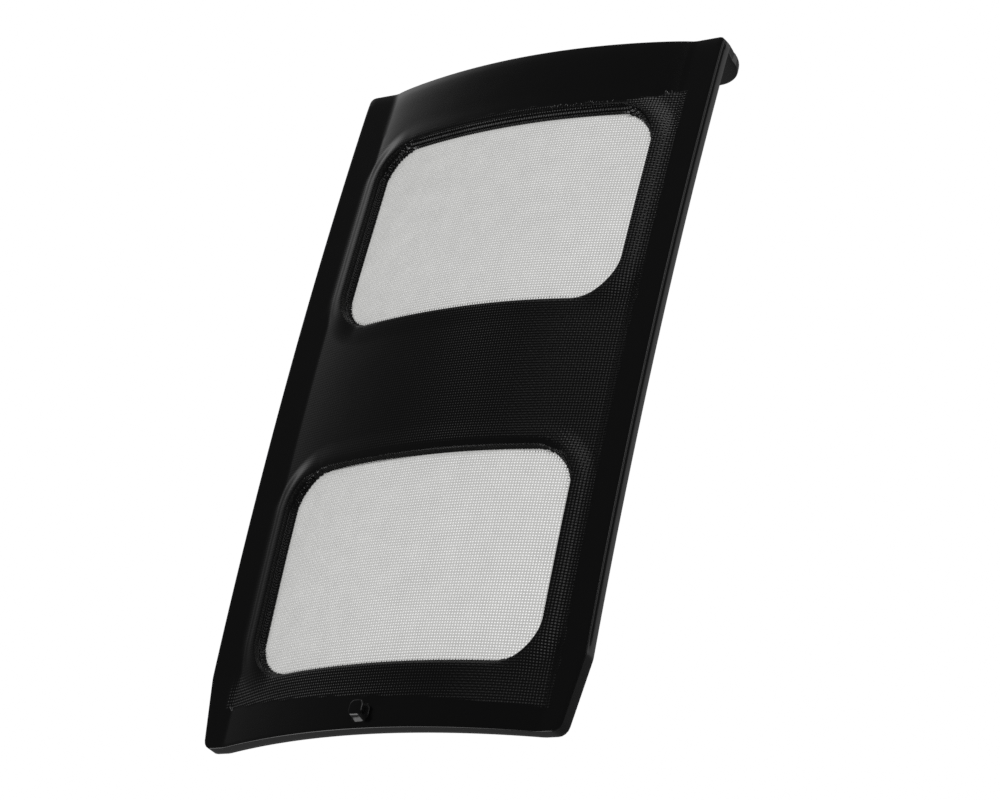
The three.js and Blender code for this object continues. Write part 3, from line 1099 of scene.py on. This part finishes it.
def world():
    """White to the camera. The object sees a dim room, pale behind it, and a softbox on the left.

    Spans are of a direction's height or depth, from -1 to 1.
    """
    scene_world = bpy.data.worlds.new("studio")
    bpy.context.scene.world = scene_world
    scene_world.use_nodes = True
    shader = Shader(scene_world.node_tree)
    direction = shader.add("SeparateXYZ", Vector=shader.add("TexCoord").outputs["Generated"]).outputs

    high = shader.ramp(direction["Z"], (-0.6, 0.6), (SURROUND_LOW, SURROUND_HIGH))
    front = shader.ramp(direction["Z"], (-0.95, -0.55), (FLOOR_LIGHT, SURROUND_FRONT))
    room = shader.ramp(direction["Y"], (0.0, 0.5), (front, high))
    azimuth = shader.maths("ARCTAN2", direction["X"], shader.maths("MULTIPLY", direction["Y"], -1.0))
    elevation = shader.maths("ARCSINE", direction["Z"])
    across = shader.off_centre(azimuth, *SOFTBOX_AZIMUTH)
    upwards = shader.off_centre(elevation, *SOFTBOX_ELEVATION)
    away = shader.maths("ADD", across, upwards)
    fall = shader.maths("EXPONENT", shader.maths("MULTIPLY", away, -0.5))
    seen = shader.maths("MULTIPLY_ADD", fall, SOFTBOX_STRENGTH, room)
    reflected = shader.add("Background", Strength=seen)

    behind = shader.ramp(direction["Y"], (-0.2, 0.3), (SURROUND_FRONT, BACKLIGHT))
    scattered = shader.add("Background", Strength=behind)
    backdrop = shader.add("Background", Strength=1.0)
    for light in (reflected, scattered, backdrop):
        light.inputs["Color"].default_value = (1, 1, 1, 1)
    path = shader.add("LightPath").outputs
    lighting = shader.mix(path["Is Diffuse Ray"], reflected.outputs[0], scattered.outputs[0])
    whole = shader.mix(path["Is Camera Ray"], lighting, backdrop.outputs[0])
    shader.add("OutputWorld", Surface=whole)


def floor():
    """A pale disc just under the foot, with a soft painted contact shadow, fading out to the white
    backdrop.

    The camera looks up at the object from below the floor, so the disc shows only from above.
    """
    disc = bmesh.new()
    bmesh.ops.create_circle(disc, cap_ends=True, segments=96, radius=FLOOR_RADIUS * MM)
    mesh = bpy.data.meshes.new("floor")
    disc.to_mesh(mesh)
    disc.free()
    mesh.materials.append(floor_material())
    holder = bpy.data.objects.new("floor", mesh)
    holder.location = (0, 0, -FLOOR_GAP * MM)
    holder.visible_diffuse = False
    holder.visible_glossy = False
    holder.visible_transmission = False
    holder.visible_shadow = False
    bpy.context.scene.collection.objects.link(holder)


def bearing(azimuth, elevation):
    """Unit vector at an azimuth round from the front towards the right, and an elevation."""
    a, e = math.radians(azimuth), math.radians(elevation)
    return Vector((math.sin(a) * math.cos(e), -math.cos(a) * math.cos(e), math.sin(e)))


def lamp(name, azimuth, elevation, size, power):
    """A square soft light aimed at the middle of the object."""
    light = bpy.data.lights.new(name, "AREA")
    light.shape = "SQUARE"
    light.size = size
    light.energy = power
    holder = bpy.data.objects.new(name, light)
    bpy.context.scene.collection.objects.link(holder)
    back = bearing(azimuth, elevation)
    middle = Vector((0, 0, HEIGHT / 2)) * MM
    holder.location = middle + back * LAMP_DISTANCE
    holder.rotation_euler = (-back).to_track_quat("-Z", "Y").to_euler()


def camera():
    """Looks up at the front from the right, with the panel leaning over to the right."""
    middle = Vector((0, Y_SHIFT, HEIGHT / 2))
    place = middle + bearing(CAMERA_AZIMUTH, CAMERA_ELEVATION) * CAMERA_DISTANCE
    data = bpy.data.cameras.new("camera")
    data.lens = CAMERA_LENS
    data.sensor_width = 36.0
    holder = bpy.data.objects.new("camera", data)
    bpy.context.scene.collection.objects.link(holder)
    turn = (Vector(CAMERA_AIM) - place).to_track_quat("-Z", "Y").to_matrix()
    turn = turn @ Matrix.Rotation(math.radians(CAMERA_ROLL), 3, "Z")
    holder.matrix_world = Matrix.Translation(place * MM) @ turn.to_4x4()
    bpy.context.scene.camera = holder


# ---- The whole object -----------------------------------------------------------------------

def stand_for(piece, node):
    """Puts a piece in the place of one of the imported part's nodes, on its only body."""
    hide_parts(node)
    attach(piece, "root")


def build():
    """The moulded frame, each window's cloth with its stained ends, and the loose fibres."""
    plastic = plastic_material()
    thread = thread_material()
    body = panel_surface().make("frame_body", plastic)
    join(body, tab_surface().make("tab", plastic), nib_surface().make("nib", plastic))
    body.name = "moulded_frame"
    body.data.shade_smooth()
    mark_threads(body)
    stand_for(body, "frame")
    for seed, (name, centre) in enumerate(WINDOW_CENTRES.items()):
        threads, stained = window_cloth(centre, seed)
        cloth = threads.make(name + "_window_cloth", thread)
        stand_for(cloth, "mesh_sheet")
        ends = stained.make(name + "_window_stained_ends", plastic)
        stand_for(ends, "frame")
    fibres = cloth_fibres(len(WINDOW_CENTRES)).make("cloth_edge_fibres", fibre_material())
    stand_for(fibres, "mesh_sheet")


build()
floor()
world()
for lamp_name, lamp_values in LAMPS.items():
    lamp(lamp_name, *lamp_values)
camera()
bpy.context.scene.view_settings.view_transform = "Standard"
bpy.context.scene.cycles.use_denoising = False  # it would blur the weave away
